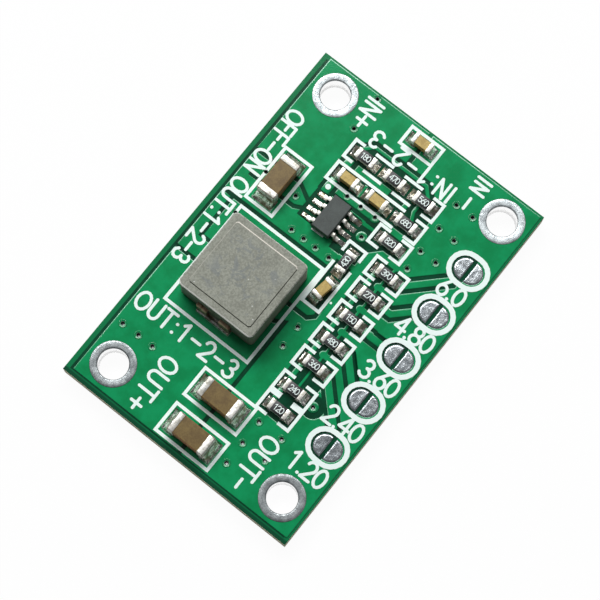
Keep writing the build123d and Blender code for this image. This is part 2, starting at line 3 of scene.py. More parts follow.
import bmesh
import bpy
from mathutils import Matrix, Vector, noise


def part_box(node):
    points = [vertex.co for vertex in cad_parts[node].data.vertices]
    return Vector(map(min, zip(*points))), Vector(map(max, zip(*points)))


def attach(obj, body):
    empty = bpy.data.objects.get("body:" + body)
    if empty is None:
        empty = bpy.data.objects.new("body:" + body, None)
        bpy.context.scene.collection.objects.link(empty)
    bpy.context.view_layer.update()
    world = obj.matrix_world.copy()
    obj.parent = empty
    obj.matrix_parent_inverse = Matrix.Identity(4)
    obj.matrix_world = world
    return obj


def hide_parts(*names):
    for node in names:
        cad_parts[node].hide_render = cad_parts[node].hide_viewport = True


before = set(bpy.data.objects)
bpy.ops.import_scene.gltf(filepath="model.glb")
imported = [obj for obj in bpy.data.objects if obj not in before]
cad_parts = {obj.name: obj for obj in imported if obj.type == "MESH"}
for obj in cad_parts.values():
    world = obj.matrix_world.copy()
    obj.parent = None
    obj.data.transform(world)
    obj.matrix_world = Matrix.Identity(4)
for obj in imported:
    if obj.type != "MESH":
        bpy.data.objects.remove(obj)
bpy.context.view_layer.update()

MM = 0.001


# The board: woven glass laminate with etched copper under a glossy green mask, sawn out of
# a panel so that its edges show the pale fibre. Copper areas stand a little proud, and the
# mask lies thinner and brighter over them than over the bare laminate between.
BOARD_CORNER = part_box("board")[1] / MM
FACE_Z = BOARD_CORNER.z
COPPER_THICKNESS = 0.05
BARE_Z = FACE_Z - COPPER_THICKNESS
SAWN_MARGIN = 0.35
MASK_SLOPE = 0.045
MASK_ON_COPPER = ((0.003, 0.235, 0.073), (0.005, 0.305, 0.105))
MASK_ON_BARE = ((0.001, 0.04, 0.017), (0.002, 0.065, 0.028))
MASK_ON_MARGIN = ((0.003, 0.07, 0.03), (0.005, 0.185, 0.064))
MASK_SPECKLE = (0.03, 0.42, 0.19)
# Colours of the painted highlight and painted shade lines along the copper edges.
MASK_PAINTED_HIGHLIGHT = (0.48, 0.88, 0.67)
MASK_PAINTED_SHADE = (0.001, 0.06, 0.025)
FIBRE = ((0.36, 0.35, 0.21), (0.68, 0.66, 0.49))
FIBRE_STRETCH = (0.7, 0.7, 11.0)
# Where each of the board's tones starts and where it is full.
RAISED_Z = (BARE_Z + 0.005, FACE_Z - 0.012)
SLOPE_Z = (BARE_Z + 0.01, FACE_Z - 0.02)
UNDERSIDE_Z = (0.4, 0.2)
SAWN_Z = (0.03, 0.07, FACE_Z - 0.09, FACE_Z - 0.05)
SAWN_REACH = (-0.02, -0.006)
MARGIN_REACH = (-SAWN_MARGIN - 0.025, -SAWN_MARGIN + 0.02)
BORDER_REACH = (-0.8, -0.6)
BORDER_X = (-14.0, 6.0)
CLEAR_OF_END_X = (0.2 - BOARD_CORNER.x, 0.4 - BOARD_CORNER.x)
HIGHLIGHT_LEAN = (0.08, 0.3)
SHADE_LEAN = (-0.08, -0.4)
MASK_CLOUDS = (0.3, 0.7)
SPECKLE_GRAIN = (0.62, 0.78)
FIBRE_STREAKS = (0.35, 0.7)
SAME_POINT = 0.0005
FLAT_WITHIN = radians(1.5)
SHARP_OVER = radians(40)
CREST_OVER = 0.5


def add(tree, kind, inputs=None, **settings):
    """One shader node with its settings, its values and its links."""
    node = tree.nodes.new(kind)
    for name, value in settings.items():
        setattr(node, name, value)
    for name, value in (inputs or {}).items():
        if isinstance(value, bpy.types.NodeSocket):
            tree.links.new(value, node.inputs[name])
        else:
            node.inputs[name].default_value = value
    return node


def finish(name, colour, roughness, metallic=0.0, **principled):
    """A material with a Principled BSDF whose plain values are set, and its shader."""
    material = bpy.data.materials.new(name)
    material.use_nodes = True
    shader = material.node_tree.nodes["Principled BSDF"]
    shader.inputs["Base Color"].default_value = (*colour, 1)
    shader.inputs["Roughness"].default_value = roughness
    shader.inputs["Metallic"].default_value = metallic
    for socket, value in principled.items():
        shader.inputs[socket.replace("_", " ")].default_value = value
    return material, shader


def in_millimetres(tree):
    """Object coordinates turned into millimetres."""
    place = add(tree, "ShaderNodeTexCoord").outputs["Object"]
    return add(tree, "ShaderNodeVectorMath", {0: place, "Scale": 1 / MM}, operation="SCALE").outputs[0]


def parts_of(tree, vector):
    """The X, Y and Z of a place or a normal."""
    return add(tree, "ShaderNodeSeparateXYZ", {0: vector}).outputs


def count(tree, operation, first, second=0.0):
    """One sum on two values."""
    return add(tree, "ShaderNodeMath", {0: first, 1: second}, operation=operation).outputs[0]


def times(tree, first, second):
    """Two values multiplied, which of two masks leaves what both cover."""
    return count(tree, "MULTIPLY", first, second)


def band(tree, value, low, high, soft=True):
    """A mask: 0 at low, 1 at high, and a soft or an even rise between."""
    kind = "SMOOTHSTEP" if soft else "LINEAR"
    ramp = add(tree, "ShaderNodeMapRange", {"Value": value, "From Min": low, "From Max": high},
               interpolation_type=kind)
    return ramp.outputs["Result"]


def window(tree, value, low, full, fading, high):
    """A mask: 0 outside low and high, 1 from full to fading."""
    return times(tree, band(tree, value, low, full), band(tree, value, high, fading))


def blend(tree, factor, below, above, how="MIX"):
    """Colour mix by a factor, each side a colour or a socket."""
    node = tree.nodes.new("ShaderNodeMix")
    node.data_type = "RGBA"
    node.blend_type = how
    for socket, value in ((node.inputs[0], factor), (node.inputs[6], below), (node.inputs[7], above)):
        if isinstance(value, bpy.types.NodeSocket):
            tree.links.new(value, socket)
        elif isinstance(value, (int, float)):
            socket.default_value = value
        else:
            socket.default_value = (*value, 1)
    return node.outputs[2]


def mark(tree, colour, mask, paint, strength):
    """Paint over a colour where a mask is, as strong as given."""
    return blend(tree, times(tree, mask, strength), colour, paint)


def between(tree, factor, below, above):
    """A value between two others, by a factor."""
    return add(tree, "ShaderNodeMix", {0: factor, 2: below, 3: above}).outputs[0]


def noisy(tree, place, scale, detail, roughness, distortion=0.0):
    """Cloudy noise from 0 to 1."""
    return add(tree, "ShaderNodeTexNoise", {
        "Vector": place, "Scale": scale, "Detail": detail, "Roughness": roughness,
        "Distortion": distortion}).outputs["Fac"]


def grain_group():
    """Node group: uneven tone and fine grain, each at a given fineness per millimetre."""
    group = bpy.data.node_groups.new("uneven_surface", "ShaderNodeTree")
    for name, kind in (("Place", "NodeSocketVector"), ("Patch Scale", "NodeSocketFloat"),
                       ("Grain Scale", "NodeSocketFloat")):
        group.interface.new_socket(name, in_out="INPUT", socket_type=kind)
    for name in ("Patches", "Grain"):
        group.interface.new_socket(name, in_out="OUTPUT", socket_type="NodeSocketFloat")
    given = group.nodes.new("NodeGroupInput").outputs
    result = group.nodes.new("NodeGroupOutput").inputs
    for wanted, scale, detail in (("Patches", "Patch Scale", 3.0), ("Grain", "Grain Scale", 5.0)):
        texture = noisy(group, given["Place"], given[scale], detail, roughness=0.6)
        group.links.new(texture, result[wanted])
    return group


UNEVEN = grain_group()


def uneven(tree, place, patch_scale, grain_scale):
    """The uneven_surface group placed in a material: its patches and its grain."""
    node = add(tree, "ShaderNodeGroup", node_tree=UNEVEN)
    tree.links.new(place, node.inputs["Place"])
    node.inputs["Patch Scale"].default_value = patch_scale
    node.inputs["Grain Scale"].default_value = grain_scale
    return node.outputs["Patches"], node.outputs["Grain"]


def roughen(tree, shader, height, strength, depth):
    """Bump of the given depth in millimetres."""
    bump = add(tree, "ShaderNodeBump", {"Height": height, "Strength": strength, "Distance": depth * MM})
    tree.links.new(bump.outputs["Normal"], shader.inputs["Normal"])


def mask_by_height(tree, axes, clouds, outward):
    """Mask over the copper, over the bare laminate, over the sawn margin and on the underside."""
    over_copper = blend(tree, clouds, *MASK_ON_COPPER)
    over_bare = blend(tree, clouds, *MASK_ON_BARE)
    over_margin = blend(tree, band(tree, axes["X"], *CLEAR_OF_END_X), *MASK_ON_MARGIN)
    over_bare = blend(tree, band(tree, outward, *MARGIN_REACH), over_bare, over_margin)
    mask = blend(tree, band(tree, axes["Z"], *RAISED_Z), over_bare, over_copper)
    return blend(tree, band(tree, axes["Z"], *UNDERSIDE_Z), mask, over_copper)


def painted_edge_lines(tree, axes, outward, mask):
    """Painted highlight line where the mask turns off the copper towards the lamp, painted shade line where
    it turns away, stronger near the board's border.
    """
    rounded = add(tree, "ShaderNodeBevel", {"Radius": 0.13 * MM}, samples=12).outputs["Normal"]
    lean = parts_of(tree, rounded)
    lean = count(tree, "ADD", lean["X"], lean["Y"])
    painted_lit = times(tree, band(tree, lean, *HIGHLIGHT_LEAN), band(tree, axes["Z"], *SLOPE_Z))
    at_border = times(tree, band(tree, outward, *BORDER_REACH), band(tree, axes["X"], *BORDER_X, soft=False))
    strength = count(tree, "ADD", times(tree, at_border, 0.5), 0.5)
    mask = mark(tree, mask, painted_lit, MASK_PAINTED_HIGHLIGHT, strength)
    return mark(tree, mask, band(tree, lean, *SHADE_LEAN), MASK_PAINTED_SHADE, strength=0.6)


def green_mask():
    """Green mask by height over the board, and fibre on the sawn edges."""
    material, shader = finish("green_mask", (0.01, 0.25, 0.08), 0.15)
    tree = material.node_tree
    place = in_millimetres(tree)
    axes = parts_of(tree, place)
    patches, grain = uneven(tree, place, patch_scale=0.8, grain_scale=9.0)
    across = count(tree, "SUBTRACT", count(tree, "ABSOLUTE", axes["X"]), BOARD_CORNER.x)
    along = count(tree, "SUBTRACT", count(tree, "ABSOLUTE", axes["Y"]), BOARD_CORNER.y)
    outward = count(tree, "MAXIMUM", across, along)
    mask = mask_by_height(tree, axes, band(tree, patches, *MASK_CLOUDS), outward)
    mask = mark(tree, mask, band(tree, grain, *SPECKLE_GRAIN), MASK_SPECKLE, strength=0.35)
    mask = painted_edge_lines(tree, axes, outward, mask)
    sawn = times(tree, band(tree, outward, *SAWN_REACH), window(tree, axes["Z"], *SAWN_Z))
    layers = add(tree, "ShaderNodeMapping", {"Vector": place, "Scale": FIBRE_STRETCH}).outputs[0]
    streaks = noisy(tree, layers, scale=2.4, detail=6.0, roughness=0.75)
    fibre = blend(tree, band(tree, streaks, *FIBRE_STREAKS), *FIBRE)
    tree.links.new(blend(tree, sawn, mask, fibre), shader.inputs["Base Color"])
    gloss = count(tree, "ADD", times(tree, grain, 0.08), 0.11)
    tree.links.new(between(tree, sawn, gloss, 0.85), shader.inputs["Roughness"])
    height = count(tree, "ADD", grain, times(tree, streaks, sawn))
    roughen(tree, shader, height, strength=0.25, depth=0.006)
    return material


def cad_copy(node):
    """The node's triangles as one mesh with its doubles merged and its flat faces whole."""
    mesh = bmesh.new()
    mesh.from_mesh(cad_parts[node].data)
    bmesh.ops.remove_doubles(mesh, verts=mesh.verts, dist=SAME_POINT * MM)
    bmesh.ops.dissolve_limit(mesh, angle_limit=FLAT_WITHIN, verts=mesh.verts, edges=mesh.edges)
    return mesh


def make_piece(name, mesh, material, slot, *nodes):
    """A new piece of the part, in place of the nodes it stands for."""
    data = bpy.data.meshes.new(name)
    mesh.to_mesh(data)
    mesh.free()
    data.materials.append(material)
    piece = bpy.data.objects.new(name, data)
    bpy.context.scene.collection.objects.link(piece)
    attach(piece, "root")
    if nodes:
        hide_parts(*nodes)
    return piece


def smooth(piece):
    """Smooth shading all over."""
    for face in piece.data.polygons:
        face.use_smooth = True


def shade(piece):
    """Smooth shading that leaves the piece's flat faces flat and its unrounded edges sharp."""
    smooth(piece)
    if not piece.modifiers:
        piece.data.set_sharp_from_angle(angle=SHARP_OVER)
    piece.modifiers.new("flat_faces_first", "WEIGHTED_NORMAL").keep_sharp = True


laid = cad_copy("board")
crests = [edge for edge in laid.edges if edge.is_manifold and edge.calc_face_angle() > CREST_OVER
          and all(abs(vert.co.z - FACE_Z * MM) < 0.001 * MM for vert in edge.verts)]
bmesh.ops.bevel(laid, geom=crests, offset=MASK_SLOPE * MM, offset_type="OFFSET", segments=3, profile=0.5,
                affect="EDGES", material=-1, clamp_overlap=False)
board = make_piece("masked_board", laid, green_mask(), "laminate", "board")
shade(board)


# Four plated wire holes: copper barrels and rings levelled with tin, which dulls to a mottled
# grey and gathers a soft edge round the bore. The tin is darkened towards the end away from
# the lamp as painted shade, and the bore wall is painted as a near-white mirror, a painted
# highlight for the light seen through the hole.
HOLE_NODES = ["pad_out_minus", "pad_out_plus", "pad_in_minus", "pad_in_plus"]
# Radius and height along the section of a ring and its barrel.
RING_PROFILE = [
    (1.12, 0.05), (1.14, 0.012), (1.2, 0.0), (1.66, 0.0), (1.7, 0.004), (1.7, 0.026),
    (1.18, 0.028), (1.18, 1.596), (1.7, 1.598), (1.695, 1.612), (1.66, 1.624), (1.5, 1.629),
    (1.24, 1.627), (1.165, 1.615), (1.13, 1.58), (1.12, 1.53),
]
RING_STEPS = 72
RING_TONES = ((0.24, 0.265, 0.275), (0.6, 0.65, 0.66))
BORE_PAINTED_LIGHT = (0.98, 0.98, 0.98)
BORE_ROUGHNESS = 0.12
BORE_Z = (FACE_Z - 0.04, FACE_Z - 0.1)
TIN_METALLIC = 0.85
TIN_CLOUDS = (0.38, 0.62)
FAR_FROM_LAMP_X = (11.0, -14.0)
DULL_SPREAD = 1.6


def mottle(tree, patches, grain, share):
    """Patches and grain mixed to one tone, with the given share of patches."""
    return count(tree, "ADD", times(tree, patches, share), times(tree, grain, 1 - share))


def levelled_tin(name, tones, patch_scale=2.2, grain_scale=14.0, bump=0.02, far=0.62, sheen=1.25):
    """Tin with cloudy grey patches and crystal grain; painted shade darkens the end far from the lamp, and a
    bore is painted as a near-white mirror.
    """
    material, shader = finish(name, (0.6, 0.6, 0.62), 0.4, metallic=TIN_METALLIC)
    tree = material.node_tree
    place = in_millimetres(tree)
    axes = parts_of(tree, place)
    patches, grain = uneven(tree, place, patch_scale, grain_scale)
    tone = mottle(tree, patches, grain, share=0.45)
    colour = blend(tree, band(tree, tone, *TIN_CLOUDS), *tones)
    # Painted shade: the tin darkens towards the end away from the lamp, by the far factor.
    painted_falloff = band(tree, axes["X"], *FAR_FROM_LAMP_X, soft=False)
    colour = blend(tree, painted_falloff, colour, (far, far, far), "MULTIPLY")
    # Painted highlight: the bore wall gets a near-white mirror tone.
    bore = band(tree, axes["Z"], *BORE_Z)
    tree.links.new(blend(tree, bore, colour, BORE_PAINTED_LIGHT), shader.inputs["Base Color"])
    metallic = count(tree, "ADD", times(tree, bore, 1 - TIN_METALLIC), TIN_METALLIC)
    tree.links.new(metallic, shader.inputs["Metallic"])
    dull = band(tree, grain, sheen, sheen - DULL_SPREAD)
    tree.links.new(between(tree, bore, dull, BORE_ROUGHNESS), shader.inputs["Roughness"])
    roughen(tree, shader, tone, strength=0.7, depth=bump)
    return material


def middle_of(node):
    """Middle of a node's box, in millimetres."""
    low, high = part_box(node)
    return (low + high) / 2 / MM


def spun(profile, places, steps):
    """Closed ring-shaped solids, each spun round its place from the same run of radius and height."""
    mesh = bmesh.new()
    for x, y in places:
        centre = Vector((x, y, 0)) * MM
        ring = [mesh.verts.new(centre + Vector((radius, 0, height)) * MM) for radius, height in profile]
        edges = [mesh.edges.new(pair) for pair in zip(ring, ring[1:] + ring[:1])]
        bmesh.ops.spin(mesh, geom=ring + edges, cent=centre, axis=(0, 0, 1), angle=2 * pi,
                       steps=steps, use_merge=True)
    bmesh.ops.remove_doubles(mesh, verts=mesh.verts, dist=SAME_POINT * MM)
    bmesh.ops.recalc_face_normals(mesh, faces=mesh.faces)
    return mesh


TIN = levelled_tin("levelled_tin", RING_TONES)
for node in HOLE_NODES:
    turned = spun(RING_PROFILE, [middle_of(node).xy], RING_STEPS)
    ring = make_piece("tinned_" + node, turned, TIN, "tin", node)
    smooth(ring)


# Thirty-one small vias: drilled holes with a thin tinned lining, painted near black down the
# bore as painted shade. The mask runs on over the rim of each and ends where the lining turns down.
HOLES_MIDDLE = sum((middle_of(node) for node in HOLE_NODES), Vector()) / len(HOLE_NODES)
VIA_PLACES = [
    (-10.02, 8.95), (-9.97, 7.56), (-10.0, 6.26), (1.29, 7.79), (5.03, 7.96), (4.97, 5.18), (11.56, 5.0),
    (14.38, 5.05), (2.83, 3.86), (2.83, 2.76), (2.83, 1.7), (2.85, 0.48), (7.25, 2.25), (7.25, 1.02),
    (7.25, -0.28), (5.51, -0.41), (-4.2, -0.94), (-2.5, -0.92), (-13.2, -3.05), (-11.4, -3.05),
    (-9.52, -3.02), (-11.4, -5.06), (-9.5, -5.03), (-6.35, -5.35), (5.7, -4.4), (7.31, -4.37),
    (9.47, -4.39), (11.63, -4.31), (7.31, -5.74), (9.42, -5.78), (11.62, -5.78),
]
VIA_PROFILE = [
    (0.09, 0.3), (0.13, 0.06), (0.19, 0.0), (0.31, 0.0), (0.32, 0.01), (0.15, 0.02), (0.15, 1.58),
    (0.32, 1.59), (0.33, 1.604), (0.29, 1.612), (0.24, 1.609), (0.19, 1.57), (0.14, 1.47), (0.09, 1.3),
]
VIA_STEPS = 20
VIA_LIP = (0.004, 0.24, 0.08)
VIA_FUNNEL = (0.24, 0.36, 0.28)
VIA_PAINTED_SHADE = (0.01, 0.03, 0.02)
VIA_LIP_Z = (FACE_Z - 0.015, FACE_Z + 0.003)
VIA_SHADE_Z = (FACE_Z - 0.06, FACE_Z - 0.18)


def via_lining():
    """Masked lip outside, tinned funnel inside, and painted shade further down the bore."""
    material, shader = finish("via_lining", (0.02, 0.3, 0.12), 0.22, Coat_Weight=0.4, Coat_Roughness=0.1)
    tree = material.node_tree
    place = in_millimetres(tree)
    height = parts_of(tree, place)["Z"]
    colour = blend(tree, band(tree, height, *VIA_LIP_Z), VIA_FUNNEL, VIA_LIP)
    # Painted shade: near black further down the bore.
    colour = blend(tree, band(tree, height, *VIA_SHADE_Z), colour, VIA_PAINTED_SHADE)
    tree.links.new(colour, shader.inputs["Base Color"])
    patches = uneven(tree, place, patch_scale=4.0, grain_scale=14.0)[0]
    roughen(tree, shader, patches, strength=0.4, depth=0.02)
    return material


via_places = [(x + HOLES_MIDDLE.x, y + HOLES_MIDDLE.y) for x, y in VIA_PLACES]
vias = make_piece("via_linings", spun(VIA_PROFILE, via_places, VIA_STEPS), via_lining(), "tin")
smooth(vias)


# White printing: frames round the parts, rings round the jumpers, and plain words and
# numbers beside the holes. It is thick screened ink with soft edges and a few thin spots.
INK_TONES = ((0.57, 0.77, 0.68), (0.86, 0.98, 0.94))
INK_SPOTS = (0.76, 0.6)
INK_LOW = BARE_Z - 0.01
INK_HIGH = FACE_Z + 0.014
INK_STROKE = 0.23
STROKE_SIDES = 12
STROKE_LIFT = 0.0004
MOST_LIFT = 0.004


def white_ink():
    """Opaque ink that lets a little green through where it is thin."""
    material, shader = finish("white_ink", (0.85, 0.88, 0.87), 0.6)
    tree = material.node_tree
    grain = uneven(tree, in_millimetres(tree), patch_scale=1.6, grain_scale=11.0)[1]
    tree.links.new(blend(tree, band(tree, grain, *INK_SPOTS), *INK_TONES), shader.inputs["Base Color"])
    roughen(tree, shader, grain, strength=0.4, depth=0.01)
    return material


def bow(x, y, wide, high, start, end, steps=10):
    """Points along part of an oval, between two angles in degrees."""
    turns = [radians(start + (end - start) * step / steps) for step in range(steps + 1)]
    return [(x + wide * cos(turn), y + high * sin(turn)) for turn in turns]


# Strokes of each letter, in shares of its height from the start of its baseline.
GLYPHS = {
    "0": [bow(0.3, 0.5, 0.28, 0.5, 0, 360, 16)],
    "O": [bow(0.38, 0.5, 0.36, 0.5, 0, 360, 16)],
    "1": [[(0.1, 0.8), (0.34, 1.0), (0.34, 0.0)]],
    "2": [bow(0.3, 0.71, 0.26, 0.29, 165, -40) + [(0.02, 0.0), (0.58, 0.0)]],
    "3": [bow(0.28, 0.76, 0.24, 0.24, 150, -90, 8) + bow(0.28, 0.26, 0.28, 0.26, 90, -155, 8)],
    "4": [[(0.44, 0.0), (0.44, 1.0), (0.0, 0.3), (0.6, 0.3)]],
    "5": [[(0.52, 1.0), (0.1, 1.0), (0.06, 0.55)] + bow(0.28, 0.32, 0.28, 0.32, 125, -150)],
    "6": [[(0.44, 1.0), (0.1, 0.5)] + bow(0.3, 0.3, 0.27, 0.3, 150, 510, 14)],
    "7": [[(0.02, 1.0), (0.58, 1.0), (0.2, 0.0)]],
    "8": [bow(0.3, 0.76, 0.23, 0.24, 0, 360, 12), bow(0.3, 0.26, 0.28, 0.26, 0, 360, 14)],
    "9": [[(0.16, 0.0), (0.5, 0.5)] + bow(0.3, 0.7, 0.27, 0.3, -30, 330, 14)],
    "U": [[(0.02, 1.0)] + bow(0.3, 0.3, 0.28, 0.3, 180, 360) + [(0.58, 1.0)]],
    "T": [[(0.0, 1.0), (0.64, 1.0)], [(0.32, 1.0), (0.32, 0.0)]],
    "I": [[(0.05, 0.0), (0.05, 1.0)]],
    "F": [[(0.04, 0.0), (0.04, 1.0), (0.56, 1.0)], [(0.04, 0.53), (0.46, 0.53)]],
    "N": [[(0.04, 0.0), (0.04, 1.0), (0.58, 0.0), (0.58, 1.0)]],
    "+": [[(0.04, 0.5), (0.66, 0.5)], [(0.35, 0.19), (0.35, 0.81)]],
    "-": [[(0.04, 0.5), (0.56, 0.5)]],
    ".": [[(0.08, 0.04), (0.1, 0.04)]],
    ":": [[(0.08, 0.1), (0.1, 0.1)], [(0.08, 0.62), (0.1, 0.62)]],
    " ": [[]],
}
GLYPH_WIDTH = 0.6
GLYPH_WIDTHS = {"O": 0.74, "T": 0.64, "I": 0.1, "+": 0.7, ".": 0.18, ":": 0.18, " ": 0.5}


def brush(mesh, start, end, width, low, high):
    """One straight stroke of ink with round ends, standing between two heights."""
    along = end - start
    turn = Matrix.Rotation(along.to_2d().angle_signed(Vector((1, 0)), 0.0), 4, "Z")
    made = bmesh.ops.create_circle(mesh, cap_ends=True, segments=STROKE_SIDES, radius=width / 2,
                                   matrix=Matrix.Rotation(pi / STROKE_SIDES, 4, "Z"))["verts"]
    far = [vert for vert in made if vert.co.x > 0]
    bmesh.ops.translate(mesh, verts=far, vec=(along.length, 0, 0))
    base = list({face for vert in made for face in vert.link_faces})
    top = bmesh.ops.extrude_face_region(mesh, geom=base)["geom"]
    top = [item for item in top if isinstance(item, bmesh.types.BMVert)]
    bmesh.ops.translate(mesh, verts=top, vec=(0, 0, high - low))
    bmesh.ops.transform(mesh, verts=made + top, matrix=Matrix.Translation((start.x, start.y, low)) @ turn)


def write(mesh, text, x, y, turn, height, length, width, low, high):
    """Words from the start of their baseline, spread over a length, all in millimetres.

    Each stroke stands a hair higher than the last, so that tops that cross don't lie in one plane.
    """
    widths = [GLYPH_WIDTHS.get(letter, GLYPH_WIDTH) * height for letter in text]
    gap = (length - sum(widths)) / max(len(text) - 1, 1)
    baseline = Matrix.Translation((x, y, 0)) @ Matrix.Rotation(radians(turn), 4, "Z")
    reach = 0.0
    lift = 0.0
    for letter, wide in zip(text, widths):
        for stroke in GLYPHS[letter]:
            points = [baseline @ Vector((reach + u * height, v * height, 0)) for u, v in stroke]
            for start, end in zip(points, points[1:]):
                lift = (lift + STROKE_LIFT) % MOST_LIFT
                brush(mesh, start, end, width, low, high + lift)
        reach += wide + gap


def to_metres(mesh, shift=(0.0, 0.0, 0.0)):
    """Moves a mesh made in millimetres by a shift, turns it into metres and its normals outwards."""
    bmesh.ops.transform(mesh, verts=mesh.verts, matrix=Matrix.Scale(MM, 4) @ Matrix.Translation(shift))
    bmesh.ops.recalc_face_normals(mesh, faces=mesh.faces)
    return mesh


INK = white_ink()
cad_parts["printed_outlines"].data.materials.clear()
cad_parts["printed_outlines"].data.materials.append(INK)
# Text, start of its baseline from the middle of the four holes, turn, height and length.
WORDS = [
    ("OUT", -9.85, 5.22, 180, 1.38, 3.3), ("+", -13.35, 5.28, 180, 1.38, 0.9),
    ("OUT", -9.85, -3.92, 180, 1.38, 3.3), ("-", -13.35, -3.92, 180, 1.38, 0.8),
    ("IN", 14.2, 5.6, 180, 1.35, 1.2), ("+", 12.85, 5.6, 180, 1.4, 0.9),
    ("IN", 14.38, -4.3, 180, 1.15, 1.12), ("-", 12.72, -3.95, 180, 1.75, 0.9),
    ("OUT:1-2-3", -8.5, 9.35, -90, 1.35, 8.85), ("OFF-ON OUT:1-2-3", 10.0, 9.5, 180, 1.28, 14.0),
    ("IN:1-2-3", 12.58, -3.6, 90, 1.3, 7.2),
    ("1.20", -10.7, -6.25, -90, 1.35, 3.05), ("2.40", -6.6, -6.25, -90, 1.35, 3.05),
    ("3.60", -2.5, -6.25, -90, 1.35, 3.05), ("4.80", 1.55, -6.25, -90, 1.35, 3.05),
    ("6.0", 5.65, -6.9, -90, 1.3, 2.1),
]
words = bmesh.new()
for text, x, y, turn, height, length in WORDS:
    write(words, text, x, y, turn, height, length, INK_STROKE, INK_LOW, INK_HIGH)
make_piece("printed_words", to_metres(words, (HOLES_MIDDLE.x, HOLES_MIDDLE.y, 0)), INK, "ink")


# Five solder jumpers: each a pair of half-round pads with a narrow gap, levelled with tin
# that has crept together into a low dull dome.
JUMPER_NODES = [f"jumper_{number}" for number in range(1, 6)]
JUMPER_TONES = ((0.24, 0.265, 0.285), (0.67, 0.715, 0.74))
JUMPER_RADIUS = 0.86
JUMPER_STRAIGHT = 0.26
JUMPER_SPLIT = 0.135
JUMPER_SHIFT = -0.03
JUMPER_ROLL = 0.14
JUMPER_SPLIT_SLOPE = 1.6
JUMPER_FOOT_Z = FACE_Z - 0.005
JUMPER_RISE = 0.055
JUMPER_LUMP = 0.012
JUMPER_LUMPS_PER_MM = 2.6


def close_down(mesh, depth):
    """Closes an open sheet with walls down from its rim and a flat underside at a depth."""
    rim = [edge for edge in mesh.edges if edge.is_boundary]
    walls = bmesh.ops.extrude_edge_only(mesh, edges=rim)["geom"]
    foot = [item for item in walls if isinstance(item, bmesh.types.BMVert)]
    for vert in foot:
        vert.co.z = depth
    bmesh.ops.contextual_create(mesh, geom=[
        item for item in walls if isinstance(item, bmesh.types.BMEdge) and item.is_boundary])
    return foot


def half_pad(mesh, x, y, side):
    """One half-round pad of tin with a rolled edge and a faintly lumpy top."""
    made = bmesh.ops.create_grid(mesh, x_segments=32, y_segments=24, size=0.5)["verts"]
    for vert in made:
        u = JUMPER_RADIUS * sin(pi * vert.co.x)
        reach = JUMPER_STRAIGHT + (JUMPER_RADIUS ** 2 - u * u) ** 0.5 - JUMPER_SPLIT
        across = (vert.co.y + 0.5) * reach
        v = JUMPER_SPLIT + across
        inset = JUMPER_RADIUS - Vector((u, max(v - JUMPER_STRAIGHT, 0.0))).length
        inset = min(inset, across * JUMPER_SPLIT_SLOPE)
        roll = 1 - max(0.0, 1 - inset / JUMPER_ROLL) ** 2
        lump = noise.noise(Vector((u * JUMPER_LUMPS_PER_MM + x, v * JUMPER_LUMPS_PER_MM + y, side)))
        rise = (JUMPER_RISE + JUMPER_LUMP * lump) * roll
        vert.co = (x + side * u, y + side * v, JUMPER_FOOT_Z + rise)
    close_down(mesh, BARE_Z)


# far sets the painted shade at the end of the board away from the lamp.
JUMPER_TIN = levelled_tin("jumper_tin", JUMPER_TONES, patch_scale=3.0, grain_scale=9.0, bump=0.03,
                          far=0.8, sheen=1.08)
for node in JUMPER_NODES:
    middle = middle_of(node)
    pads = bmesh.new()
    for side in (1, -1):
        half_pad(pads, middle.x, middle.y + JUMPER_SHIFT, side)
    jumper = make_piece("tinned_" + node, to_metres(pads), JUMPER_TIN, "solder", node)
    shade(jumper)


# Solder: every land is covered by a film that has crept up the end of its part in a hollow
# fillet. It froze bright, with small lumps and a dull skin here and there.
RESISTORS = [f"resistor_{number}" for number in range(1, 14)]
SMALL_CAPACITORS = [f"capacitor_{number}" for number in range(1, 5)]
LARGE_CAPACITORS = [f"capacitor_{number}" for number in range(5, 8)]
CROOKED_CHIPS = {"capacitor_3": -9.5}
# Chips, their length, and the width, toe and climb of the solder at their ends.
CHIP_SOLDER = [
    (RESISTORS, 1.6, 0.94, 0.42, 0.3), (SMALL_CAPACITORS, 1.6, 0.94, 0.42, 0.5),
    (LARGE_CAPACITORS, 3.2, 1.74, 0.52, 0.85),
]
LEAD_PITCH = 0.65
SEAT_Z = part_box("resistor_1_ends")[0].z / MM
SOLDER_TONES = ((0.30, 0.27, 0.19), (0.92, 0.90, 0.84))
SOLDER_CLOUDS = (0.38, 0.6)
SOLDER_DULLNESS = (1.5, -1.5)
FILM = 0.05
FILM_Z = SEAT_Z + 0.004
SOLDER_LOW = BARE_Z - 0.004
SOLDER_LUMP = 0.05
SOLDER_LUMPS_PER_MM = 2.3
DEEPEST_DENT = -0.02
TIP_LENGTH = 0.12
HOLLOW = 1.9
CORNER_CLIMB = 0.35
SIDE_SLOPE = 1.6
PART_END = -0.05


def reflowed_solder():
    """Bright metal in soft lumps, greyer and duller between them."""
    material, shader = finish("reflowed_solder", (0.75, 0.75, 0.73), 0.25, metallic=1.0)
    tree = material.node_tree
    patches = uneven(tree, in_millimetres(tree), patch_scale=1.8, grain_scale=9.0)[0]
    colour = blend(tree, band(tree, patches, *SOLDER_CLOUDS), *SOLDER_TONES)
    tree.links.new(colour, shader.inputs["Base Color"])
    tree.links.new(band(tree, patches, *SOLDER_DULLNESS), shader.inputs["Roughness"])
    roughen(tree, shader, patches, strength=0.9, depth=0.1)
    return material


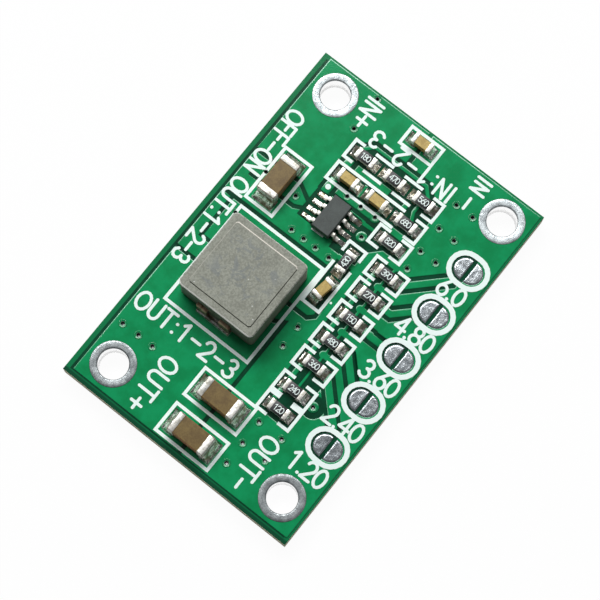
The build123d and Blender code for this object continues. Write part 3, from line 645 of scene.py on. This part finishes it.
def fillet(mesh, x, y, turn, toe, width, climb, heel=0.38):
    """One land's solder, outwards along the turned X from the end of its part."""
    made = bmesh.ops.create_grid(mesh, x_segments=14, y_segments=10, size=0.5)["verts"]
    for vert in made:
        u = (vert.co.x + 0.5) * (toe + heel) - heel
        v = vert.co.y * width
        side = 1 - abs(2 * v / width) ** 4
        tip = max(0.0, min(1.0, (toe - u) / TIP_LENGTH))
        edge = min(1.0, side * SIDE_SLOPE) * tip ** 0.5
        rise = 0.0
        if u > PART_END:
            fall = max(0.0, 1 - max(u, 0.0) / toe)
            rise = climb * fall ** HOLLOW * (CORNER_CLIMB + (1 - CORNER_CLIMB) * side)
        lump = noise.noise(Vector((u * SOLDER_LUMPS_PER_MM + x, v * SOLDER_LUMPS_PER_MM + y, turn)))
        rise += max(SOLDER_LUMP * lump, DEEPEST_DENT)
        vert.co = (u, v, FILM_Z - FILM + (FILM + rise) * edge)
    foot = close_down(mesh, SOLDER_LOW)
    home = Matrix.Translation((x, y, 0)) @ Matrix.Rotation(radians(turn), 4, "Z")
    bmesh.ops.transform(mesh, verts=made + foot, matrix=home)


def chip_place(node):
    """Middle and turn of a chip, from its capped ends, in millimetres and degrees."""
    low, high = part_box(node)
    middle = middle_of(node)
    turn = 90 if (high - low).y > (high - low).x else 0
    return middle.x, middle.y, turn


solder = bmesh.new()
for names, length, width, toe, climb in CHIP_SOLDER:
    for name in names:
        x, y, turn = chip_place(name + "_ends")
        turn = CROOKED_CHIPS.get(name, turn)
        for side in (0, 180):
            angle = radians(turn + side)
            fillet(solder, x + cos(angle) * length / 2, y + sin(angle) * length / 2, turn + side,
                   toe, width, climb)
regulator = middle_of("regulator_body")
lead_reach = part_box("regulator_leads")[1].y / MM - regulator.y
for turn, side in ((90, 1), (-90, -1)):
    for step in (-1.5, -0.5, 0.5, 1.5):
        fillet(solder, regulator.x + step * LEAD_PITCH, regulator.y + side * lead_reach, turn,
               toe=0.55, width=0.4, climb=0.12)
inductor = middle_of("inductor_body")
clip_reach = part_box("inductor_clips")[1].x / MM - inductor.x
for turn, side in ((0, 1), (180, -1)):
    fillet(solder, inductor.x + side * clip_reach, inductor.y, turn, toe=0.12, width=2.93, climb=0.06,
           heel=1.7)
joints = make_piece("reflowed_joints", to_metres(solder), reflowed_solder(), "solder", "solder_joints")
smooth(joints)


# Chip resistors: a white ceramic slip with a black glass coat on top, tinned wrap-round
# ends, and a plain three-figure number printed on the coat.
CERAMIC_WHITE = (0.72, 0.72, 0.69)
GLASS_COAT = ((0.006, 0.006, 0.007), (0.02, 0.02, 0.022))
COAT_Z = (SEAT_Z + 0.4, SEAT_Z + 0.425)
CHIP_TONES = ((0.45, 0.43, 0.37), (0.97, 0.96, 0.91))
ROUNDED_OVER = radians(30)
NUMBERS = ["120", "240", "360", "480", "150", "270", "390", "180", "470", "560", "680", "820", "430"]
FIGURE_HEIGHT = 0.44
FIGURE_LENGTH = 0.78
FIGURE_STROKE = 0.056
FIGURE_LOW = SEAT_Z + 0.465
FIGURE_THICKNESS = 0.012


def resistor_ceramic():
    """White slip below, black glass above."""
    material, shader = finish("resistor_ceramic", (0.8, 0.8, 0.78), 0.45)
    tree = material.node_tree
    place = in_millimetres(tree)
    patches, grain = uneven(tree, place, patch_scale=4.0, grain_scale=20.0)
    coated = band(tree, parts_of(tree, place)["Z"], *COAT_Z)
    colour = blend(tree, coated, CERAMIC_WHITE, blend(tree, patches, *GLASS_COAT))
    tree.links.new(colour, shader.inputs["Base Color"])
    roughen(tree, shader, grain, strength=0.3, depth=0.006)
    return material


def dress(node, name, material, slot, width, segments=2):
    """A piece in the node's own shape, with its edges rounded by a width in millimetres."""
    piece = make_piece(name, cad_copy(node), material, slot, node)
    rounding = piece.modifiers.new("rounded_edges", "BEVEL")
    rounding.width = width * MM
    rounding.segments = segments
    rounding.limit_method = "ANGLE"
    rounding.angle_limit = ROUNDED_OVER
    shade(piece)


CERAMIC = resistor_ceramic()
# far sets the painted shade at the end of the board away from the lamp.
CHIP_TIN = levelled_tin("chip_tin", CHIP_TONES, grain_scale=5.0, bump=0.035, far=0.95)
for name in RESISTORS:
    dress(name + "_body", name + "_coated", CERAMIC, "resistor_body", width=0.02)
    dress(name + "_ends", name + "_wraps", CHIP_TIN, "tin", width=0.035, segments=3)
figures = bmesh.new()
for name, number in zip(RESISTORS, NUMBERS):
    x, y, turn = chip_place(name + "_ends")
    start = Matrix.Rotation(radians(-turn), 4, "Z") @ Vector((-FIGURE_LENGTH / 2, -FIGURE_HEIGHT / 2, 0))
    write(figures, number, x + start.x, y + start.y, -turn, FIGURE_HEIGHT, FIGURE_LENGTH, FIGURE_STROKE,
          FIGURE_LOW, FIGURE_LOW + FIGURE_THICKNESS)
make_piece("resistor_figures", to_metres(figures), INK, "ink")


# Chip capacitors: fired ceramic blocks, small tan ones and large brown ones, dipped at both
# ends in metal and tinned, with rounded tumbled edges.
TAN_TONES = ((0.40, 0.27, 0.065), (0.60, 0.45, 0.135))
TAN_SIDE = (0.42, 0.25, 0.05)
BROWN_TONES = ((0.112, 0.064, 0.01), (0.185, 0.12, 0.025))
BROWN_SIDE = (0.27, 0.115, 0.035)
CERAMIC_CLOUDS = (0.35, 0.65)
TURNED_DOWN = (0.97, 0.75)


def capacitor_ceramic(name, tones, side):
    """Mottled ceramic, warmer on its rounded edges and its sides."""
    material, shader = finish(name, tones[1], 0.5)
    tree = material.node_tree
    patches, grain = uneven(tree, in_millimetres(tree), patch_scale=1.5, grain_scale=12.0)
    colour = blend(tree, band(tree, mottle(tree, patches, grain, share=0.6), *CERAMIC_CLOUDS), *tones)
    upward = parts_of(tree, add(tree, "ShaderNodeNewGeometry").outputs["Normal"])["Z"]
    tree.links.new(blend(tree, band(tree, upward, *TURNED_DOWN), colour, side), shader.inputs["Base Color"])
    roughen(tree, shader, grain, strength=0.4, depth=0.01)
    return material


TAN = capacitor_ceramic("tan_ceramic", TAN_TONES, TAN_SIDE)
BROWN = capacitor_ceramic("brown_ceramic", BROWN_TONES, BROWN_SIDE)
for names, ceramic, slot, width in ((SMALL_CAPACITORS, TAN, "capacitor_tan", 0.03),
                                    (LARGE_CAPACITORS, BROWN, "capacitor_brown", 0.06)):
    for name in names:
        dress(name + "_body", name + "_block", ceramic, slot, width)
        dress(name + "_ends", name + "_caps", CHIP_TIN, "tin", width=0.05, segments=3)


# The inductor: iron powder pressed round its coil into a square block with a raised flat on
# top, coated grey, and rubbed by handling. Painted highlights and painted shade stand for the
# light on the flat's step, on the sides away from the lamp and on the top edge facing -X.
# Two folded copper clips hold it to the board.
POWDER_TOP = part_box("inductor_body")[1].z / MM
POWDER_TONES = ((0.185, 0.192, 0.154), (0.305, 0.317, 0.262))
POWDER_CLOUDS = (0.36, 0.64)
GRIT = (0.09, 0.085, 0.07)
GRIT_GRAIN = (0.66, 0.72)
SMEAR = (0.15, 0.17, 0.175)
SMEAR_CLOUDS = (0.51, 0.59)
SMEAR_REACH = (2.9, 1.7)
FLECK = (0.75, 0.77, 0.75)
FLECK_SIZE = (0.05, 0.035)
PIT = (0.08, 0.08, 0.075)
PIT_SIZE = (0.07, 0.04)
WORN_RIM = (0.62, 0.63, 0.60)
WORN_DEPTH = (0.08, 0.11, 0.14, 0.2)
WORN_GRAIN = (0.36, 0.52)
FLAT_REACH = (3.1, 3.05)
# Painted light: highlight and shade on the flat's step, shade on the sides away from the lamp, and a
# highlight on the -X top edge.
PAINTED_STEP_HIGHLIGHT = (0.86, 0.8, 0.72)
STEP_HIGHLIGHT_DEPTH = (0.13, 0.1)
STEP_HIGHLIGHT_LEAN = (0.12, 0.35)
STEP_DEPTH = (0.01, 0.03, 0.07, 0.082)
PAINTED_STEP_SHADE = (0.05, 0.055, 0.045)
STEP_SHADE_FACING = (0.0, -0.3)
PAINTED_STEP_LIGHT = (0.6, 0.57, 0.52)
STEP_LIGHT_FACING = (0.0, 0.3)
PAINTED_SIDE_SHADE = (0.5, 0.53, 0.46)
SIDE_SHADE_FACING = (-0.4, -0.85)
PAINTED_CLIP_SIDE_SHADE = (0.65, 0.65, 0.62)
CLIP_SIDE_FACING = (-0.6, -0.95)
PAINTED_BRINK_HIGHLIGHT = (0.97, 0.96, 0.9)
BRINK_DEPTH = (0.22, 0.16)
BRINK_LEAN = (-0.15, -0.4)
OFF_THE_FLAT = (0.5, 0.3)
STRIP_TONES = ((0.17, 0.09, 0.05), (0.52, 0.37, 0.25))
STRIP_CLOUDS = (0.35, 0.65)


def spots(tree, place, edge, full, scale):
    """Small round spots strewn about, gone at one distance from their middles and full at another."""
    distance = add(tree, "ShaderNodeTexVoronoi", {"Vector": place, "Scale": scale, "Randomness": 1.0},
                   feature="F1").outputs["Distance"]
    return band(tree, distance, edge, full)


def powder_face(tree, place, patches, grain, reach):
    """The coated face: mottled grey with grit, bluish smears about the middle and pale flecks."""
    tone = mottle(tree, patches, grain, share=0.3)
    colour = blend(tree, band(tree, tone, *POWDER_CLOUDS), *POWDER_TONES)
    colour = blend(tree, band(tree, grain, *GRIT_GRAIN), colour, GRIT)
    smear = noisy(tree, place, scale=1.0, detail=5.0, roughness=0.7, distortion=1.0)
    smear = times(tree, band(tree, smear, *SMEAR_CLOUDS), band(tree, reach, *SMEAR_REACH))
    colour = mark(tree, colour, smear, SMEAR, strength=0.6)
    flecks = spots(tree, place, *FLECK_SIZE, scale=1.15)
    return mark(tree, colour, flecks, FLECK, strength=0.8)


def wear_and_painted_light(tree, colour, depth, grain, reach):
    """The worn rim, and painted light: highlight and shade on the sides of the raised flat, shade on the
    sides away from the lamp, and a highlight on the top edge facing -X.
    """
    normal = parts_of(tree, add(tree, "ShaderNodeNewGeometry").outputs["Normal"])
    facing = count(tree, "ADD", normal["X"], normal["Y"])
    rounded = add(tree, "ShaderNodeBevel", {"Radius": 0.07 * MM}, samples=10).outputs["Normal"]
    lean = parts_of(tree, rounded)["X"]
    on_flat = band(tree, reach, *FLAT_REACH)
    worn = times(tree, window(tree, depth, *WORN_DEPTH), band(tree, grain, *WORN_GRAIN))
    colour = mark(tree, colour, worn, WORN_RIM, strength=0.8)
    # Painted highlight on the side of the raised flat whose edge leans to +X.
    painted_bright = times(tree, on_flat, band(tree, depth, *STEP_HIGHLIGHT_DEPTH))
    painted_bright = times(tree, painted_bright, band(tree, lean, *STEP_HIGHLIGHT_LEAN))
    colour = mark(tree, colour, painted_bright, PAINTED_STEP_HIGHLIGHT, strength=0.85)
    step = window(tree, depth, *STEP_DEPTH)
    # Painted shade on the step sides facing away from the lamp, painted light on those facing it.
    painted_dark = times(tree, step, band(tree, facing, *STEP_SHADE_FACING))
    colour = mark(tree, colour, painted_dark, PAINTED_STEP_SHADE, strength=0.8)
    painted_lit = times(tree, step, band(tree, facing, *STEP_LIGHT_FACING))
    colour = mark(tree, colour, painted_lit, PAINTED_STEP_LIGHT, strength=0.5)
    # Painted shade on the sides away from the lamp, deeper on the -X side where the clips are.
    colour = blend(tree, band(tree, facing, *SIDE_SHADE_FACING), colour, PAINTED_SIDE_SHADE, "MULTIPLY")
    colour = blend(tree, band(tree, normal["X"], *CLIP_SIDE_FACING), colour, PAINTED_CLIP_SIDE_SHADE, "MULTIPLY")
    # Painted highlight along the top edge facing -X.
    painted_brink = times(tree, band(tree, on_flat, *OFF_THE_FLAT), band(tree, lean, *BRINK_LEAN))
    painted_brink = times(tree, painted_brink, band(tree, depth, *BRINK_DEPTH))
    return mark(tree, colour, painted_brink, PAINTED_BRINK_HIGHLIGHT, strength=0.8)


def pressed_powder():
    """Grey coat over pressed powder, read from the block's middle and from its top."""
    material, shader = finish("pressed_powder", (0.3, 0.3, 0.26), 0.55)
    tree = material.node_tree
    place = in_millimetres(tree)
    axes = parts_of(tree, place)
    depth = count(tree, "SUBTRACT", POWDER_TOP, axes["Z"])
    across = count(tree, "ABSOLUTE", count(tree, "SUBTRACT", axes["X"], inductor.x))
    along = count(tree, "ABSOLUTE", count(tree, "SUBTRACT", axes["Y"], inductor.y))
    reach = count(tree, "MAXIMUM", across, along)
    patches, grain = uneven(tree, place, patch_scale=0.9, grain_scale=7.0)
    colour = powder_face(tree, place, patches, grain, reach)
    colour = wear_and_painted_light(tree, colour, depth, grain, reach)
    pits = spots(tree, place, *PIT_SIZE, scale=1.7)
    tree.links.new(mark(tree, colour, pits, PIT, strength=0.7), shader.inputs["Base Color"])
    height = count(tree, "SUBTRACT", grain, times(tree, pits, 0.8))
    roughen(tree, shader, height, strength=0.5, depth=0.02)
    return material


def bare_copper():
    """Brown tarnished copper strip."""
    material, shader = finish("bare_copper", (0.6, 0.38, 0.24), 0.35, metallic=0.9)
    tree = material.node_tree
    patches, grain = uneven(tree, in_millimetres(tree), patch_scale=2.5, grain_scale=12.0)
    colour = blend(tree, band(tree, patches, *STRIP_CLOUDS), *STRIP_TONES)
    tree.links.new(colour, shader.inputs["Base Color"])
    roughen(tree, shader, grain, strength=0.5, depth=0.02)
    return material


dress("inductor_body", "pressed_block", pressed_powder(), "powder_core", width=0.06, segments=3)
dress("inductor_clips", "folded_clips", bare_copper(), "copper_strip", width=0.03)


# The regulator: a small black moulded body with sloping sides, and eight tinned gull-wing
# leads bent down to the board.
MOULDING_TONES = ((0.028, 0.037, 0.033), (0.06, 0.075, 0.07))
MOULDING_CLOUDS = (0.36, 0.64)


def black_moulding():
    """Dull black resin with a fine grain."""
    material, shader = finish("black_moulding", (0.05, 0.05, 0.055), 0.55)
    tree = material.node_tree
    patches, grain = uneven(tree, in_millimetres(tree), patch_scale=1.4, grain_scale=22.0)
    tone = mottle(tree, patches, grain, share=0.4)
    colour = blend(tree, band(tree, tone, *MOULDING_CLOUDS), *MOULDING_TONES)
    tree.links.new(colour, shader.inputs["Base Color"])
    roughen(tree, shader, grain, strength=0.5, depth=0.012)
    return material


dress("regulator_body", "moulded_body", black_moulding(), "mould_compound", width=0.03)
dress("regulator_leads", "gull_wing_leads", CHIP_TIN, "tin", width=0.02)


# The white table and the light: one broad soft lamp behind the board's input corner, a
# weaker one across from it, and an even sky. The table lies a hair under the board.
TABLE_Z = -0.03
TABLE_HALF = 1.5
TABLE_GLOW = 0.96
SKY = (0.9, 0.95, 1.0, 1)
SKY_STRENGTH = 0.1


def white_table():
    """Matt white that is near to plain white wherever it is seen or mirrored, and keeps its shadows."""
    material, shader = finish("white_table", (0.9, 0.9, 0.9), 0.9)
    tree = material.node_tree
    path = add(tree, "ShaderNodeLightPath").outputs
    seen = count(tree, "MAXIMUM", path["Is Camera Ray"], path["Is Transmission Ray"])
    seen = times(tree, count(tree, "MAXIMUM", seen, path["Is Glossy Ray"]), TABLE_GLOW)
    glow = add(tree, "ShaderNodeEmission", {"Color": (1, 1, 1, 1), "Strength": 1.0}).outputs[0]
    mixed = add(tree, "ShaderNodeMixShader", {0: seen, 1: shader.outputs[0], 2: glow}).outputs[0]
    tree.links.new(mixed, tree.nodes["Material Output"].inputs["Surface"])
    return material


def soft_lamp(name, azimuth, elevation, distance, wide, high, power):
    """A flat lamp aimed at the board from a direction in degrees."""
    data = bpy.data.lights.new(name, "AREA")
    data.shape = "RECTANGLE"
    data.size = wide
    data.size_y = high
    data.energy = power
    lamp = bpy.data.objects.new(name, data)
    azimuth, elevation = radians(azimuth), radians(elevation)
    level = Vector((cos(azimuth), sin(azimuth), 0)) * cos(elevation)
    lamp.location = (level + Vector((0, 0, sin(elevation)))) * distance
    lamp.rotation_euler = lamp.location.to_track_quat("Z", "Y").to_euler()
    bpy.context.scene.collection.objects.link(lamp)


ground = bmesh.new()
bmesh.ops.create_grid(ground, x_segments=1, y_segments=1, size=TABLE_HALF,
                      matrix=Matrix.Translation((0, 0, TABLE_Z * MM)))
data = bpy.data.meshes.new("table")
ground.to_mesh(data)
ground.free()
data.materials.append(white_table())
table = bpy.data.objects.new("table", data)
bpy.context.scene.collection.objects.link(table)
soft_lamp("key", azimuth=45, elevation=55, distance=0.4, wide=0.42, high=0.13, power=1.94)
soft_lamp("fill", azimuth=265, elevation=30, distance=0.4, wide=0.2, high=0.1, power=0.04)
world = bpy.data.worlds.new("even_sky")
bpy.context.scene.world = world
world.use_nodes = True
world.node_tree.nodes["Background"].inputs["Color"].default_value = SKY
world.node_tree.nodes["Background"].inputs["Strength"].default_value = SKY_STRENGTH


# The camera: a long lens over the board's output end, placed so that the board's corners and
# holes fall where they do in the photograph.
CAMERA_PLACE = (-0.025248, -0.017672, 0.140705)
CAMERA_TURN = (12.242652, -0.579939, -51.617713)
camera_data = bpy.data.cameras.new("camera")
camera_data.lens = 120.0
camera_data.sensor_width = 36.0
camera_data.clip_start = 0.01
camera = bpy.data.objects.new("camera", camera_data)
camera.location = CAMERA_PLACE
camera.rotation_euler = [radians(turn) for turn in CAMERA_TURN]
bpy.context.scene.collection.objects.link(camera)
bpy.context.scene.camera = camera
bpy.context.scene.view_settings.view_transform = "Standard"
